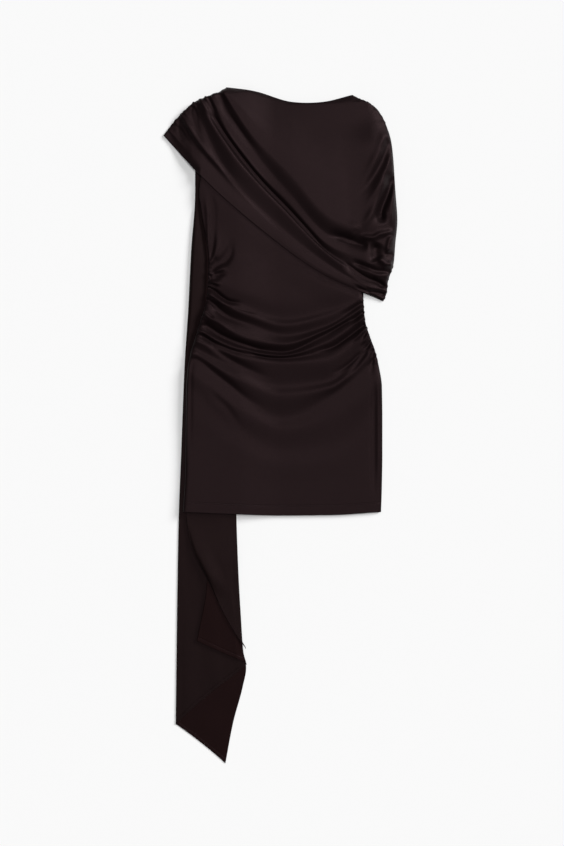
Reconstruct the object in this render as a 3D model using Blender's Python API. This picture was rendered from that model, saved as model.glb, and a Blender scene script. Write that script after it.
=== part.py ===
"""A draped mini dress laid flat on a surface, built as cloth walls in layers.

From the surface up: the folded sash, the back of the draped overlay, the back and the
ruched front of the sheath, and the front of the overlay with its slanting folds.
Every wall is a height over the surface, read where two families of lines cross.
The tables are in millimetres: X to the right, Y towards the neck, Z up.
"""

import bmesh
import bpy
import numpy as np

# Driving sizes, in millimetres
MILLIMETRE = 0.001
WALL = 1.4
SEAM_GAP = 0.4
LAYER_GAP = 1.1
DRAPE_GAP = 1.4
SASH_LIFT = 9.0
SASH_RAMP_RIGHT = 90.0
SASH_RAMP_LEFT = 50.0
DRAPE_RAMP = 60.0
OVERLAY_RAMP = 42.0
LEVEL_MARGIN = 4.0
SHEATH_LOFT = 3.6
HIDDEN_LOFT = 1.2
HIDDEN_FROM_Y = 300.0
HIDDEN_FADE = 120.0
VISIBLE_ROUNDING = 9.0
HIDDEN_ROUNDING = 49.0
RIGHT_ROUNDING_MORE = 3.0
SEAM_ROUNDING = 16.0
RUCHE_FULLNESS = 2.6
ARM_LOFT = 6.0
FOLD_BEND = 0.9
SIDE_GATHER = 1.3
SHOULDER_GATHER = 1.5
GATHER_REACH = 26.0
GATHER_FADE = 12.0
DRAPE_EDGE_CLEAR = 3.0
DRAPE_EDGE_FADE = 14.0
LEAST_GAP = 0.1

# Outlines as seen from above: (y, x) down each side
SHEATH_LEFT = [
    (660, -143), (552, -147), (466, -162), (429, -157), (379, -149), (339, -143),
    (275, -145), (236, -151), (212, -159), (173, -171), (152, -178), (108, -186),
    (74, -188), (-92, -190), (-180, -195),
]
SHEATH_RIGHT = [
    (660, 171), (552, 175), (466, 187), (372, 181), (292, 167), (259, 166),
    (215, 169), (179, 179), (152, 189), (119, 197), (79, 203), (12, 204),
    (-55, 204), (-121, 203), (-180, 201),
]
SASH_LEFT = [
    (660, -167), (512, -171), (469, -171), (352, -179), (232, -185), (126, -192),
    (29, -196), (-54, -199), (-188, -204), (-362, -207), (-600, -210),
]
SASH_RIGHT = [
    (660, -105), (352, -97), (52, -93), (-178, -88), (-290, -84), (-380, -79),
    (-452, -74), (-484, -67), (-523, -74), (-594, -93), (-678, -109),
]
SASH_SELVAGE = [(660, -147), (252, -151), (-178, -143), (-316, -147), (-430, -167)]
ROLLED_FOLD = [
    (660, -141), (300, -137), (52, -172), (-68, -180), (-180, -189), (-216, -184),
    (-252, -174), (-305, -147), (-376, -113), (-444, -74),
]

# Lines across the overlay, from the left shoulder seam (u = 0) to the right side (u = 1)
DRAPE_STATIONS = (0.0, 0.25, 0.5, 0.75, 1.0)
DRAPE_LINES = {
    "neckline": [(-107, 677), (-45, 668), (19, 649), (83, 648), (144, 663)],
    "shoulder": [(-109, 676), (-47, 650), (19, 618), (89, 602), (194, 634)],
    "upper chest": [(-112, 674), (-49, 626), (19, 580), (97, 548), (223, 562)],
    "chest": [(-114, 672), (-53, 602), (19, 542), (103, 492), (230, 472)],
    "above hollow": [(-117, 670), (-55, 580), (20, 504), (112, 412), (234, 412)],
    "soft hollow": [(-126, 666), (-62, 559), (17, 466), (104, 376), (230, 366)],
    "lit ridge": [(-139, 661), (-79, 550), (9, 454), (102, 360), (227, 328)],
    "deep trough": [(-149, 657), (-89, 546), (5, 444), (99, 346), (215, 288)],
    "narrow ridge": [(-161, 653), (-93, 537), (1, 438), (97, 341), (213, 268)],
    "dark band": [(-176, 645), (-113, 517), (-19, 415), (89, 327), (209, 257)],
    "cap ridge": [(-193, 630), (-119, 510), (-26, 408), (85, 322), (208, 254)],
    "edge band": [(-215, 607), (-129, 494), (-30, 398), (82, 314), (207, 252)],
    "free edge": [(-234, 582), (-139, 480), (-33, 389), (79, 308), (206, 250)],
}
# Height of each line over what it lies on, at the same five stations
DRAPE_HEIGHTS = {
    "neckline": (0.6, 0.8, 0.8, 0.8, 0.6),
    "shoulder": (3.0, 5.0, 6.0, 5.0, 1.5),
    "upper chest": (4.5, 10.0, 12.0, 10.0, 1.8),
    "chest": (5.5, 14.0, 16.0, 13.0, 2.0),
    "above hollow": (6.0, 13.5, 15.5, 14.0, 2.2),
    "soft hollow": (3.0, 7.5, 8.5, 5.0, 1.8),
    "lit ridge": (5.5, 7.0, 7.0, 5.2, 2.6),
    "deep trough": (0.5, 1.5, 2.5, 0.5, 0.6),
    "narrow ridge": (5.5, 7.5, 6.0, 4.5, 3.4),
    "dark band": (1.2, 1.2, 2.0, 1.6, 1.6),
    "cap ridge": (3.0, 2.6, 2.2, 1.8, 2.4),
    "edge band": (1.6, 1.4, 1.6, 1.6, 1.6),
    "free edge": (0.8, 0.8, 0.6, 0.6, 0.6),
}
# How many strips of cloth are cut between each line and the next
DRAPE_STRIPS = (2, 2, 2, 2, 3, 2, 2, 2, 2, 2, 2, 2)
BACK_DRAPE_STRIPS = (2, 2, 2, 2, 2, 1, 1, 1, 1, 1, 1, 1)
DRAPE_STATION_COUNT = 33
DRAPE_WIDTH = 420.0
DRAPE_SIDE_STATIONS = (4.0, 10.0)
BACK_FINE_STATIONS = 12
SHOULDER_GATHERS_LEFT_OF = -122.0
SIDE_GATHERS_BELOW = 340.0
SIDE_GATHERS_FADE = 30.0

# Ridges and hollows at the right of the overlay: path, half width, height
ARM_SPAN = (262.0, 632.0)
ARM_LOW_FADE = 40.0
ARM_HIGH_FADE = 70.0
ARM_LEVEL = 22.0
ARM_FADE = 80.0
CREASE_POINTS = 25
CREASE_FADE = 0.3
DRAPE_CREASES = {
    "shoulder ridge": ([(221, 576), (193, 468), (149, 436)], 9, 2.6),
    "shoulder crease": ([(219, 570), (199, 516), (159, 458), (143, 436)], 9, -2.8),
    "deep arm trough": ([(225, 532), (219, 486), (209, 452), (197, 420)], 11, -4.6),
    "arm ridge": ([(229, 502), (224, 452), (213, 402)], 8, 2.4),
    "pouch ridge": ([(125, 382), (159, 378), (193, 382), (225, 392)], 8, 2.8),
    "pouch hollow": ([(155, 350), (183, 348), (207, 354)], 14, -3.2),
    "pouch bump": ([(193, 334), (215, 338), (221, 350)], 10, 3.0),
    "low crease": ([(137, 332), (183, 316), (215, 306)], 7, -2.2),
}

# Lines across the sheath front: y at five stations from the left side to the right
SHEATH_STATIONS = (0.0, 0.25, 0.5, 0.75, 1.0)
SHEATH_LINES = {
    "top": (655, 662, 638, 640, 643),
    "upper chest": (562, 562, 556, 556, 562),
    "armpit": (466, 466, 462, 462, 472),
    "bust": (402, 402, 388, 388, 402),
    "upper gathers": (342, 328, 316, 328, 342),
    "ruche top": (296, 272, 254, 264, 290),
    "first crease": (274, 239, 217, 232, 262),
    "first ridge": (260, 224, 202, 218, 254),
    "broad trough": (248, 207, 182, 200, 246),
    "second ridge": (226, 178, 164, 190, 237),
    "deepest trough": (202, 162, 148, 180, 228),
    "thin ridge": (191, 155, 141, 164, 218),
    "thin crease": (183, 148, 135, 150, 204),
    "third ridge": (172, 134, 114, 124, 190),
    "long trough": (158, 120, 91, 96, 172),
    "fourth ridge": (147, 96, 62, 82, 154),
    "low trough": (136, 72, 30, 70, 134),
    "fifth ridge": (112, 36, -8, 16, 92),
    "faint trough": (82, -4, -48, -36, 48),
    "upper skirt": (22, -44, -80, -72, -8),
    "middle skirt": (-58, -96, -116, -112, -72),
    "lower skirt": (-128, -136, -140, -140, -128),
    "hem": (-172, -176, -179, -178, -172),
}
# Height of each ruched line over the smooth front, left, middle and right
SHEATH_HEIGHTS = {
    "ruche top": (0.6, 0.9, 1.2, 0.9, 0.0),
    "first crease": (-1.6, -1.8, -0.8, -0.4, 0.0),
    "first ridge": (1.0, 1.8, 1.6, 1.2, 0.0),
    "broad trough": (-2.0, -2.8, -1.6, -1.2, -0.4),
    "second ridge": (2.4, 3.4, 3.2, 2.4, 0.6),
    "deepest trough": (-2.4, -3.2, -3.2, -2.8, -1.0),
    "thin ridge": (1.4, 2.2, 2.0, 1.6, 0.8),
    "thin crease": (-1.2, -1.0, -1.0, -1.2, -0.8),
    "third ridge": (1.6, 2.4, 2.4, 2.4, 1.2),
    "long trough": (-1.4, -2.4, -1.8, -1.8, -1.2),
    "fourth ridge": (1.2, 1.8, 1.4, 1.6, 1.4),
    "low trough": (-1.6, -2.0, -1.6, -1.6, -1.2),
    "fifth ridge": (0.6, 1.0, 0.8, 0.8, 0.6),
    "faint trough": (-0.4, -0.9, -0.9, -0.7, -0.2),
    "upper skirt": (0.2, 0.4, 0.4, 0.4, 0.2),
}
SHEATH_STRIPS = (2, 2, 2, 2, 3, 3, 2, 2, 3, 3, 2, 2, 2, 2, 2, 2, 3, 2, 2, 2, 2, 2)
RUCHE_SPAN = (-40.0, 350.0)
RUCHE_LOW_FADE = 150.0
RUCHE_HIGH_FADE = 60.0
RUCHE_ROUNDING = 12.0
SHEATH_STATION_COUNT = 20
SHEATH_WIDTH = 380.0
SHEATH_SIDE_STATIONS = (2.0, 5.0, 9.0)
LEFT_GATHERS = (170, 345)
RIGHT_GATHERS = (125, 262)

# Plies of the sash from the lowest up: where each starts and ends, and how low its hem hangs
SASH_TOP = 652
SASH_PLIES = {
    "lowest": ("right", "left", -676, -598),
    "middle": ("left", "right", -596, -478),
    "upper": ("right", "selvage", -472, -430),
}
SASH_ROWS = (0, 0.1, 0.22, 0.34, 0.46, 0.58, 0.66, 0.73, 0.79, 0.85, 0.9, 0.95, 1)
PLY_STATIONS = 5
OVERFOLD_STATIONS = 7
OVERFOLD_END = (-428, -446)
OVERFOLD_RETURN = 9.0
OVERFOLD_RETURN_SHARE = 0.6
OVERFOLD_INSET = 1.0
OVERFOLD_LEAST = 3.0
OVERFOLD_DROOP = 1.5
DROOP_FROM = 0.6
FOLD_TURNS = np.radians((45, 90, 135))

# Cloth colours: the right side, and the duller wrong side that the sash turns up
CLOTH_COLOUR = (0.021, 0.012, 0.013, 1.0)
WRONG_SIDE_COLOUR = (0.014, 0.008, 0.008, 1.0)
CLOTH_ROUGHNESS = 0.78


def through(places, values, at, level=True):
    """Smooth curve through table values; a level one never overshoots them."""
    places = np.asarray(places, float)
    values = np.asarray(values, float).reshape(len(places), -1)
    width = np.diff(places)[:, None]
    rise = np.diff(values, axis=0) / width
    slope = np.vstack([rise[:1], (rise[1:] + rise[:-1]) / 2, rise[-1:]])
    if level:
        same_way = rise[1:] * rise[:-1] > 0
        total = np.where(same_way, rise[1:] + rise[:-1], 1.0)
        slope[1:-1] = np.where(same_way, 2 * rise[1:] * rise[:-1] / total, 0.0)
    at = np.clip(np.asarray(at, float), places[0], places[-1])
    k = np.clip(np.searchsorted(places, at, side="right") - 1, 0, len(places) - 2)
    t = ((at - places[k]) / width[k, 0])[:, None]
    return (
        values[k] * (1 + 2 * t) * (1 - t) ** 2
        + slope[k] * width[k] * t * (1 - t) ** 2
        + values[k + 1] * t**2 * (3 - 2 * t)
        + slope[k + 1] * width[k] * t**2 * (t - 1)
    )


def side_x(outline, y):
    """X of an outline table at any heights y along the garment."""
    rows = np.array(sorted(outline), float)
    y = np.asarray(y, float)
    return through(rows[:, 0], rows[:, 1], y.ravel())[:, 0].reshape(y.shape)


def soft_step(value):
    """Smooth rise from 0 to 1."""
    t = np.clip(value, 0.0, 1.0)
    return t * t * (3 - 2 * t)


def rounded(value):
    """Quarter round from 0 at a folded edge to 1 inside it."""
    t = np.clip(value, 0.0, 1.0)
    return np.sqrt(1 - (1 - t) ** 2)


def distance_inside(outline, x, y):
    """Distance to a closed outline, positive inside it."""
    a = np.array(outline, float)
    b = np.roll(a, -1, axis=0)
    point = np.stack([np.ravel(x), np.ravel(y)], axis=1)
    along = b - a
    offset = point[:, None, :] - a[None, :, :]
    t = np.clip((offset * along).sum(2) / (along**2).sum(1), 0, 1)
    gap = np.linalg.norm(offset - t[..., None] * along, axis=2).min(axis=1)
    above = (a[:, 1] > point[:, 1:2]) != (b[:, 1] > point[:, 1:2])
    rise = np.where(along[:, 1] == 0, 1, along[:, 1])
    crossing = point[:, :1] < a[:, 0] + along[:, 0] * offset[:, :, 1] / rise
    inside = (above & crossing).sum(axis=1) % 2 == 1
    return np.where(inside, gap, -gap).reshape(np.shape(x))


def crease(path, half_width, height, x, y):
    """A soft ridge or hollow along a path: a bell across it that fades at both ends."""
    knots = np.arange(len(path))
    points = through(knots, path, np.linspace(0, knots[-1], CREASE_POINTS))
    a = points[:-1]
    along = points[1:] - a
    offset = np.stack([np.ravel(x), np.ravel(y)], axis=1)[:, None, :] - a
    t = np.clip((offset * along).sum(2) / (along**2).sum(1), 0, 1)
    gap = np.linalg.norm(offset - t[..., None] * along, axis=2)
    nearest = gap.argmin(axis=1)
    rows = np.arange(len(gap))
    part = (nearest + t[rows, nearest]) / len(a)
    fade = soft_step(part / CREASE_FADE) * soft_step((1 - part) / CREASE_FADE)
    bell = np.exp(-((gap[rows, nearest] / half_width) ** 2))
    return (height * bell * fade).reshape(np.shape(x))


def drape_outline():
    """The overlay's outline, from its table of lines."""
    lines = list(DRAPE_LINES.values())
    left = [line[0] for line in lines]
    right = [line[-1] for line in lines]
    return lines[0][:-1] + right + lines[-1][-2:0:-1] + left[:0:-1]


def sheath_outline():
    """The sheath's outline, both sides and the two ends."""
    top = SHEATH_LINES["top"]
    bottom = SHEATH_LINES["hem"]
    left = [(x, y) for y, x in SHEATH_LEFT if bottom[0] < y < top[0]]
    right = [(x, y) for y, x in SHEATH_RIGHT if bottom[-1] < y < top[-1]]
    share = np.array(SHEATH_STATIONS)
    top_x = SHEATH_LEFT[0][1] + (SHEATH_RIGHT[0][1] - SHEATH_LEFT[0][1]) * share
    low_x = SHEATH_LEFT[-1][1] + (SHEATH_RIGHT[-1][1] - SHEATH_LEFT[-1][1]) * share
    ends = list(zip(top_x, top)), list(zip(low_x, bottom))
    return ends[0] + right + ends[1][::-1] + left[::-1]


def sash_lift(x, y):
    """How high the sash holds the layers over it, down to nothing on both sides."""
    past_right = side_x(SASH_RIGHT, y) + LEVEL_MARGIN - x
    past_left = x - side_x(SASH_LEFT, y) + LEVEL_MARGIN
    right = soft_step((past_right + SASH_RAMP_RIGHT) / SASH_RAMP_RIGHT)
    left = soft_step((past_left + SASH_RAMP_LEFT) / SASH_RAMP_LEFT)
    return SASH_LIFT * right * left


def under_back_body(x, y):
    """Underside of the sheath's back, which rides up over the back of the overlay."""
    inside = distance_inside(drape_outline(), x, y)
    over_drape = soft_step((inside + LEVEL_MARGIN + DRAPE_RAMP) / DRAPE_RAMP)
    return sash_lift(x, y) + (WALL + LAYER_GAP) * over_drape


def hidden_share(y):
    """0 where the sheath shows, 1 where the overlay covers all of it."""
    return soft_step((y - HIDDEN_FROM_Y) / HIDDEN_FADE)


def full_loft(y):
    """Fullness of the sheath's front away from its sides, thin where it is hidden."""
    return SHEATH_LOFT + (HIDDEN_LOFT - SHEATH_LOFT) * hidden_share(y)


def sheath_loft(x, y):
    """Fullness of the sheath's front, rounded off at its sides."""
    from_left = x - side_x(SHEATH_LEFT, y)
    from_right = side_x(SHEATH_RIGHT, y) - x
    rounding = VISIBLE_ROUNDING + (HIDDEN_ROUNDING - VISIBLE_ROUNDING) * hidden_share(y)
    right_rounding = rounding + RIGHT_ROUNDING_MORE
    return full_loft(y) * rounded(from_left / rounding) * rounded(from_right / right_rounding)


def under_front_body(x, y):
    """Underside of the sheath's front before its folds."""
    return under_back_body(x, y) + WALL + SEAM_GAP + sheath_loft(x, y)


def under_front_drape(x, y):
    """What the overlay's front lies on: its own back, or the sheath, with a soft slope between."""
    past_sheath = distance_inside(sheath_outline(), x, y) + LEVEL_MARGIN
    inside = distance_inside(drape_outline(), x, y)
    sheath_roof = under_back_body(x, y) + 2 * WALL + SEAM_GAP + full_loft(y) + DRAPE_GAP
    own_gap = SEAM_GAP + (DRAPE_GAP - SEAM_GAP) * soft_step(inside / SEAM_ROUNDING)
    own_back = sash_lift(x, y) + WALL + own_gap
    over_sheath = soft_step((past_sheath + SEAM_ROUNDING) / SEAM_ROUNDING)
    closed = np.maximum(rounded(inside / SEAM_ROUNDING), over_sheath)
    carried = soft_step((past_sheath + OVERLAY_RAMP) / OVERLAY_RAMP) * closed
    return own_back + (sheath_roof - own_back) * carried


def arm_loft(x, y):
    """Fullness round the arm: a quarter round at the right side that dies away over the chest."""
    inwards = np.hypot(x - x[:, -1:], y - y[:, -1:])
    low, high = ARM_SPAN
    along = soft_step((y[:, -1:] - low) / ARM_LOW_FADE) * soft_step((high - y[:, -1:]) / ARM_HIGH_FADE)
    over_chest = 1 - soft_step((inwards - ARM_LEVEL) / ARM_FADE)
    return ARM_LOFT * rounded(inwards / SEAM_ROUNDING) * over_chest * along


def line_places(strips):
    """Positions between table rows for a count of strips in each interval."""
    places = [k + n / count for k, count in enumerate(strips) for n in range(count)]
    return np.array(places + [len(strips)])


def drape_grid(u, v):
    """Plan of the overlay and the height of its main folds at stations u and lines v."""
    plan = np.array([DRAPE_LINES[name] for name in DRAPE_LINES], float)
    heights = np.array([DRAPE_HEIGHTS[name] for name in DRAPE_LINES], float)[:, :, None]
    plan, heights = [part.transpose(1, 0, 2).reshape(len(DRAPE_STATIONS), -1) for part in (plan, heights)]
    across = through(DRAPE_STATIONS, plan, u, level=False).reshape(len(u), len(DRAPE_LINES), 2)
    raised = through(DRAPE_STATIONS, heights, u).reshape(len(u), len(DRAPE_LINES), 1)
    rows = np.dstack([across, raised]).transpose(1, 0, 2).reshape(len(DRAPE_LINES), -1)
    grid = through(range(len(DRAPE_LINES)), rows, v)
    return np.moveaxis(grid.reshape(len(v), len(u), 3), 2, 0)


def sheath_grid(u, v):
    """Plan of the sheath and the height of its ruched folds at stations u and lines v."""
    lines = np.array([SHEATH_LINES[name] for name in SHEATH_LINES], float)
    flat = (0.0,) * len(SHEATH_STATIONS)
    heights = np.array([SHEATH_HEIGHTS.get(name, flat) for name in SHEATH_LINES])
    columns = np.dstack([lines, heights]).transpose(1, 0, 2)
    across = through(SHEATH_STATIONS, columns.reshape(len(SHEATH_STATIONS), -1), u)
    across = across.reshape(len(u), len(lines), 2).transpose(1, 0, 2)
    grid = through(range(len(lines)), across.reshape(len(lines), -1), v)
    y, height = np.moveaxis(grid.reshape(len(v), len(u), 2), 2, 0)
    left = side_x(SHEATH_LEFT, y[:, :1])
    right = side_x(SHEATH_RIGHT, y[:, -1:])
    return left + (right - left) * u, y, height


def alternate(count):
    """A gather at every second line: one up, the next down."""
    return np.where(np.arange(count) % 2 == 0, 1.0, -1.0)[:, None]


def ruche_fullness(x, y):
    """The cloth taken up by the ruching stands away from the body, least at the side seams."""
    low, high = RUCHE_SPAN
    inwards = np.minimum(x - side_x(SHEATH_LEFT, y), side_x(SHEATH_RIGHT, y) - x)
    along = soft_step((y - low) / RUCHE_LOW_FADE) * soft_step((high - y) / RUCHE_HIGH_FADE)
    return RUCHE_FULLNESS * along * rounded(inwards / RUCHE_ROUNDING)


def sheath_gathers(x, y):
    """Small puckers at both side seams, fading into the cloth."""
    def window(limits, at):
        return soft_step((at - limits[0]) / GATHER_FADE) * soft_step((limits[1] - at) / GATHER_FADE)
    wave = alternate(len(y))
    left = window(LEFT_GATHERS, y[:, :1]) * np.exp(-(x - x[:, :1]) / GATHER_REACH)
    right = window(RIGHT_GATHERS, y[:, -1:]) * np.exp(-(x[:, -1:] - x) / GATHER_REACH)
    return SIDE_GATHER * wave * (left + right)


def drape_gathers(x, y):
    """Gathers along the left shoulder seam and up the lower right side seam."""
    wave = alternate(len(y))
    from_left = np.hypot(x - x[:, :1], y - y[:, :1])
    from_right = np.hypot(x - x[:, -1:], y - y[:, -1:])
    at_left = soft_step((SHOULDER_GATHERS_LEFT_OF - x[:, :1]) / GATHER_FADE)
    at_right = soft_step((SIDE_GATHERS_BELOW - y[:, -1:]) / SIDE_GATHERS_FADE)
    seam_left = at_left * np.exp(-from_left / GATHER_REACH)
    seam_right = at_right * np.exp(-from_right / GATHER_REACH)
    return SHOULDER_GATHER * wave * (seam_left + seam_right)


def cloth_wall(name, side_a, side_b, colour, collection):
    """A closed wall between two grids of points, made in millimetres and kept in metres."""
    rows, columns = side_a[0].shape
    points = np.concatenate([np.stack(side, axis=-1).reshape(-1, 3) for side in (side_a, side_b)])
    index = np.arange(rows * columns).reshape(rows, columns)
    quads = np.stack([index[:-1, :-1], index[:-1, 1:], index[1:, 1:], index[1:, :-1]], axis=-1)
    quads = quads.reshape(-1, 4)
    rim = np.concatenate([index[0, :], index[1:, -1], index[-1, -2::-1], index[-2:0:-1, 0]])
    following = np.roll(rim, -1)
    other = rows * columns
    band = np.stack([rim, rim + other, following + other, following], axis=-1)
    faces = np.concatenate([quads, quads[:, ::-1] + other, band])
    mesh = bpy.data.meshes.new(name)
    mesh.from_pydata((points * MILLIMETRE).tolist(), [], faces.tolist())
    shell = bmesh.new()
    shell.from_mesh(mesh)
    bmesh.ops.recalc_face_normals(shell, faces=shell.faces)
    shell.to_mesh(mesh)
    shell.free()
    mesh.shade_smooth()
    piece = bpy.data.objects.new(name, mesh)
    collection.objects.link(piece)
    piece.data.materials.append(cloth_material(name, colour))
    return piece


def cloth_material(name, colour):
    """Matt jersey with the panel's colour."""
    material = bpy.data.materials.new(name + "_jersey")
    material.use_nodes = True
    shader = material.node_tree.nodes["Principled BSDF"]
    shader.inputs["Base Color"].default_value = colour
    shader.inputs["Roughness"].default_value = CLOTH_ROUGHNESS
    shader.inputs["Metallic"].default_value = 0.0
    return material


def edge_stations(count, width, edges):
    """Even stations across a panel, with extra ones close to both sides."""
    near = np.array(edges) / width
    inner = np.linspace(0, 1, count)[1:-1]
    clear = 1.5 * near[-1]
    inner = inner[(inner > clear) & (inner < 1 - clear)]
    return np.concatenate([[0], near, inner, 1 - near[::-1], [1]])


def thicken_section(name, stations, colour, collection):
    """A wall of even thickness round folded cross sections, each in its own X-Z plane."""
    x, y, z = (np.array(part).T for part in zip(*stations))
    run = np.gradient(x, axis=1)
    rise = np.gradient(z, axis=1)
    length = np.hypot(run, rise)
    out_x, out_z = -rise / length * WALL / 2, run / length * WALL / 2
    side_a = (x + out_x, y, z + out_z)
    side_b = (x - out_x, y, z - out_z)
    return cloth_wall(name, side_a, side_b, colour, collection)


def make_sash_tail(collection):
    """The three lower plies of the scarf panel, one wall folded back at its left and right."""
    bend = FOLD_BEND + WALL / 2
    outlines = {"left": SASH_LEFT, "right": SASH_RIGHT, "selvage": SASH_SELVAGE}
    inset = {"left": bend, "right": -bend, "selvage": 0.0}
    drop = np.array(SASH_ROWS, float)
    level = WALL / 2
    stations = []
    for start, end, low_start, low_end in SASH_PLIES.values():
        for share in np.linspace(0, 1, PLY_STATIONS):
            y = SASH_TOP + (low_start + (low_end - low_start) * share - SASH_TOP) * drop
            from_x = side_x(outlines[start], y) + inset[start]
            to_x = side_x(outlines[end], y) + inset[end]
            stations.append((from_x + (to_x - from_x) * share, y, np.full_like(y, level)))
        if end == "selvage":
            break
        outward = -FOLD_BEND if end == "left" else FOLD_BEND
        for turn in FOLD_TURNS:
            height = level + FOLD_BEND * (1 - np.cos(turn))
            stations.append((to_x + outward * np.sin(turn), y, np.full_like(y, height)))
        level += 2 * FOLD_BEND
    return thicken_section("sash_tail", stations, WRONG_SIDE_COLOUR, collection)


def make_sash_overfold(collection):
    """The top stretch of the scarf panel, turned under along its slanting left fold."""
    bend = FOLD_BEND + WALL / 2
    level = WALL / 2 + 2 * FOLD_BEND * len(SASH_PLIES)
    drop = np.array(SASH_ROWS, float)
    y = SASH_TOP + (OVERFOLD_END[0] - SASH_TOP) * drop
    fold = side_x(ROLLED_FOLD, y) + bend
    back = np.minimum(OVERFOLD_RETURN, OVERFOLD_RETURN_SHARE * (side_x(SASH_RIGHT, y) - fold))
    stations = [(fold + back, y, np.full_like(y, level)), (fold, y, np.full_like(y, level))]
    for turn in FOLD_TURNS:
        height = level + FOLD_BEND * (1 - np.cos(turn))
        stations.append((fold - FOLD_BEND * np.sin(turn), y, np.full_like(y, height)))
    level += 2 * FOLD_BEND
    for share in np.linspace(0, 1, OVERFOLD_STATIONS):
        end = OVERFOLD_END[0] + (OVERFOLD_END[1] - OVERFOLD_END[0]) * share
        y = SASH_TOP + (end - SASH_TOP) * drop
        fold = side_x(ROLLED_FOLD, y) + bend
        edge = np.maximum(side_x(SASH_RIGHT, y) - OVERFOLD_INSET, fold + OVERFOLD_LEAST)
        height = level - OVERFOLD_DROOP * soft_step((share - DROOP_FROM) / (1 - DROOP_FROM))
        stations.append((fold + (edge - fold) * share, y, np.full_like(y, height)))
    return thicken_section("sash_overfold", stations, CLOTH_COLOUR, collection)


def make_back_drape(u, collection):
    """The hidden back of the overlay, plain and to the same outline."""
    x, y, _ = drape_grid(u, line_places(BACK_DRAPE_STRIPS))
    low = sash_lift(x, y)
    return cloth_wall("back_drape", (x, y, low + WALL), (x, y, low), CLOTH_COLOUR, collection)


def make_back_body(u, collection):
    """The plain back of the sheath."""
    x, y, _ = sheath_grid(u, line_places((1,) * (len(SHEATH_LINES) - 1)))
    low = under_back_body(x, y)
    return cloth_wall("back_body", (x, y, low + WALL), (x, y, low), CLOTH_COLOUR, collection)


def make_front_body(u, collection):
    """The front of the sheath, ruched between its side seams at the waist."""
    x, y, folds = sheath_grid(u, line_places(SHEATH_STRIPS))
    outside = -distance_inside(drape_outline(), x, y)
    clear_of_drape = soft_step((outside - DRAPE_EDGE_CLEAR) / DRAPE_EDGE_FADE)
    relief = (folds + ruche_fullness(x, y) + sheath_gathers(x, y)) * clear_of_drape
    low = under_front_body(x, y) + np.maximum(relief, LEAST_GAP - sheath_loft(x, y))
    return cloth_wall("front_body", (x, y, low + WALL), (x, y, low), CLOTH_COLOUR, collection)


def make_front_drape(u, collection):
    """The front of the overlay, with a line of points along each of its folds."""
    x, y, folds = drape_grid(u, line_places(DRAPE_STRIPS))
    for path, half_width, height in DRAPE_CREASES.values():
        folds = folds + crease(path, half_width, height, x, y)
    folds = folds + arm_loft(x, y) + drape_gathers(x, y)
    low = under_front_drape(x, y) + np.maximum(folds, 0.0)
    return cloth_wall("front_drape", (x, y, low + WALL), (x, y, low), CLOTH_COLOUR, collection)


def make_dress():
    """Clear the scene and make every piece, from the surface up."""
    for old in list(bpy.data.objects):
        bpy.data.objects.remove(old, do_unlink=True)
    collection = bpy.data.collections.new("draped_dress")
    bpy.context.scene.collection.children.link(collection)
    sheath_stations = edge_stations(SHEATH_STATION_COUNT, SHEATH_WIDTH, SHEATH_SIDE_STATIONS)
    drape_stations = edge_stations(DRAPE_STATION_COUNT, DRAPE_WIDTH, DRAPE_SIDE_STATIONS)
    fine, coarse = drape_stations[:BACK_FINE_STATIONS], drape_stations[BACK_FINE_STATIONS::2]
    make_sash_tail(collection)
    make_sash_overfold(collection)
    make_back_drape(np.concatenate([fine, coarse]), collection)
    make_back_body(sheath_stations, collection)
    make_front_body(sheath_stations, collection)
    make_front_drape(drape_stations, collection)


make_dress()
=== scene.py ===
# %% [markdown]
# A dress laid flat, seen from above. The solids of the part give each panel's place and thickness.
# This script gives the panels the finer cloth that lies on the same forms: soft folds, gathers,
# hems, stitches and a jersey finish. The first step loads the solids as a fixed frame.

# %% Load the frame
import math

import bpy
import numpy as np
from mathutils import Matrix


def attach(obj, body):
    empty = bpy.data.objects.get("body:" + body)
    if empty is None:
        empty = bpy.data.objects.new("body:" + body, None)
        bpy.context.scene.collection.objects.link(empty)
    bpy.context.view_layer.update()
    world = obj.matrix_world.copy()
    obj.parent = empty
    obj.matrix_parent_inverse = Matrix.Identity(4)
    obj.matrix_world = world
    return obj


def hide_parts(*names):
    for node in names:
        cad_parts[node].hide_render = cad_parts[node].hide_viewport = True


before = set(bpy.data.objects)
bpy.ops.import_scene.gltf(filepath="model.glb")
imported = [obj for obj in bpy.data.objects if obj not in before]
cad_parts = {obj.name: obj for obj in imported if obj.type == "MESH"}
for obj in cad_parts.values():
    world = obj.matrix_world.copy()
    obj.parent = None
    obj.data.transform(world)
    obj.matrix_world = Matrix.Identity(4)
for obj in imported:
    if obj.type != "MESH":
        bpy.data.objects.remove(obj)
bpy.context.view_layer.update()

# %% [markdown]
# The photograph looks straight down, so the camera hangs over the dress and needs no turning:
# a Blender camera with no rotation looks down its own -Z. A long lens keeps the edges of the
# picture as flat as the middle. The distance follows from the width of floor that is seen.

# %% Camera
VIEW_LENGTH = 1.692
VIEW_MIDDLE = (0.0032, 0.006)
LENS_MM = 100.0
SENSOR_MM = 36.0

camera_data = bpy.data.cameras.new("overhead_camera")
camera_data.lens = LENS_MM
camera_data.sensor_width = SENSOR_MM
camera = bpy.data.objects.new("overhead_camera", camera_data)
camera.location = (*VIEW_MIDDLE, VIEW_LENGTH * LENS_MM / SENSOR_MM + 0.01)
bpy.context.scene.collection.objects.link(camera)
bpy.context.scene.camera = camera
print("camera height", round(camera.location.z, 3))

# %% [markdown]
# Every outline and fold below is a short table of places. A curve through a table must
# not swing past its values, or a panel would bulge between two rows. A cubic whose slopes are
# kept small enough does that, and it works on whole arrays at once.

# %% Curves through tables
MM = 0.001


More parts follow.
